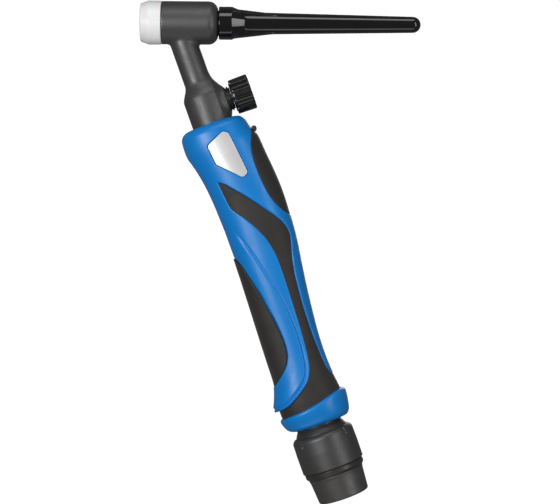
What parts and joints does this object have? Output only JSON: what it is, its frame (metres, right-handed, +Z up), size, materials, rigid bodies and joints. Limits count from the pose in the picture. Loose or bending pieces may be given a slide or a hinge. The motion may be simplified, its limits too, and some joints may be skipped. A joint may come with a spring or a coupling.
{
  "type": "tig torch",
  "caption": "Angled welding torch with a long back cap, a gas valve knob in its neck, a two-tone contoured grip and a swivelling cable outlet.",
  "frame": {"origin": "centre of the end face of the power cable thread, inside the grip on its straight stem axis", "axes": "+Z up the stem to the head, +X towards the back cap and the valve knob, +Y across the torch's plane of symmetry"},
  "size_m": [0.1431, 0.0366, 0.282],
  "materials": {
    "brass_core": "machined",
    "brass_stud": "machined",
    "brass_stem": "turned",
    "jacket_black": "matte moulded insulation",
    "gasket_white": "smooth white insulator",
    "cap_gloss_black": "polished moulding",
    "seal_rubber": "smooth rubber",
    "insulator_rubber": "smooth rubber",
    "bonnet_black": "satin turned",
    "knob_gloss_black": "polished moulding",
    "grip_blue": "satin moulded plastic",
    "collar_blue": "satin moulded plastic",
    "soft_black": "matte soft-touch",
    "blank_black": "matte soft-touch",
    "label_silver": "fine satin",
    "screw_steel": "zinc plated",
    "ball_black": "satin moulded plastic",
    "socket_black": "satin moulded plastic",
    "ring_black": "satin moulded plastic",
    "sleeve_black": "satin moulded plastic"
  },
  "bodies": {
    "root": {"head_core": "brass_core", "neck_tube": "brass_core", "head_jacket": "jacket_black", "front_gasket": "gasket_white", "valve_block": "brass_core", "tail_stud": "brass_core", "tail_insulator": "insulator_rubber", "valve_bonnet": "bonnet_black", "grip_shell_left": "grip_blue", "grip_shell_right": "grip_blue", "side_inlay_left": "soft_black", "side_inlay_right": "soft_black", "palm_inlay": "soft_black", "switch_blank": "blank_black", "label_plate_left": "label_silver", "label_plate_right": "label_silver", "shell_screws": "screw_steel", "end_collar": "collar_blue"},
    "cap_seal": {"back_cap_o_ring": "seal_rubber"},
    "cap": {"back_cap": "cap_gloss_black", "back_cap_stud": "brass_stud"},
    "stem_seals": {"valve_stem_seals": "seal_rubber"},
    "knob": {"valve_knob": "knob_gloss_black", "valve_stem": "brass_stem"},
    "ball": {"swivel_ball": "ball_black"},
    "socket": {"swivel_socket": "socket_black", "lock_ring": "ring_black", "cable_sleeve": "sleeve_black"}
  },
  "joints": [
    {"name": "cap_out", "type": "slide", "parent": "root", "child": "cap_seal", "axis": [0.9397, 0, -0.342], "range_m": [0, 0.006]},
    {"name": "cap_turn", "type": "hinge", "parent": "cap_seal", "child": "cap", "pos_m": [0.02086, 0, 0.10841], "axis": [0.9397, 0, -0.342], "range_deg": [0, 2160]},
    {"name": "knob_out", "type": "slide", "parent": "root", "child": "stem_seals", "axis": [1, 0, 0], "range_m": [0, 0.0016]},
    {"name": "knob_turn", "type": "hinge", "parent": "stem_seals", "child": "knob", "pos_m": [0.02, 0, 0.0687], "axis": [1, 0, 0], "range_deg": [0, 720]},
    {"name": "swivel_turn", "type": "hinge", "parent": "root", "child": "ball", "pos_m": [0, 0, -0.119], "axis": [0, 0, 1], "continuous": true},
    {"name": "swivel_tilt", "type": "hinge", "parent": "ball", "child": "socket", "pos_m": [0, 0, -0.119], "axis": [0, 1, 0], "range_deg": [-12, 12]}
  ],
  "couplings": [
    {"joint": "cap_out", "follows": "cap_turn", "m_per_rad": 0.00015915},
    {"joint": "knob_out", "follows": "knob_turn", "m_per_rad": 0.00012732}
  ]
}
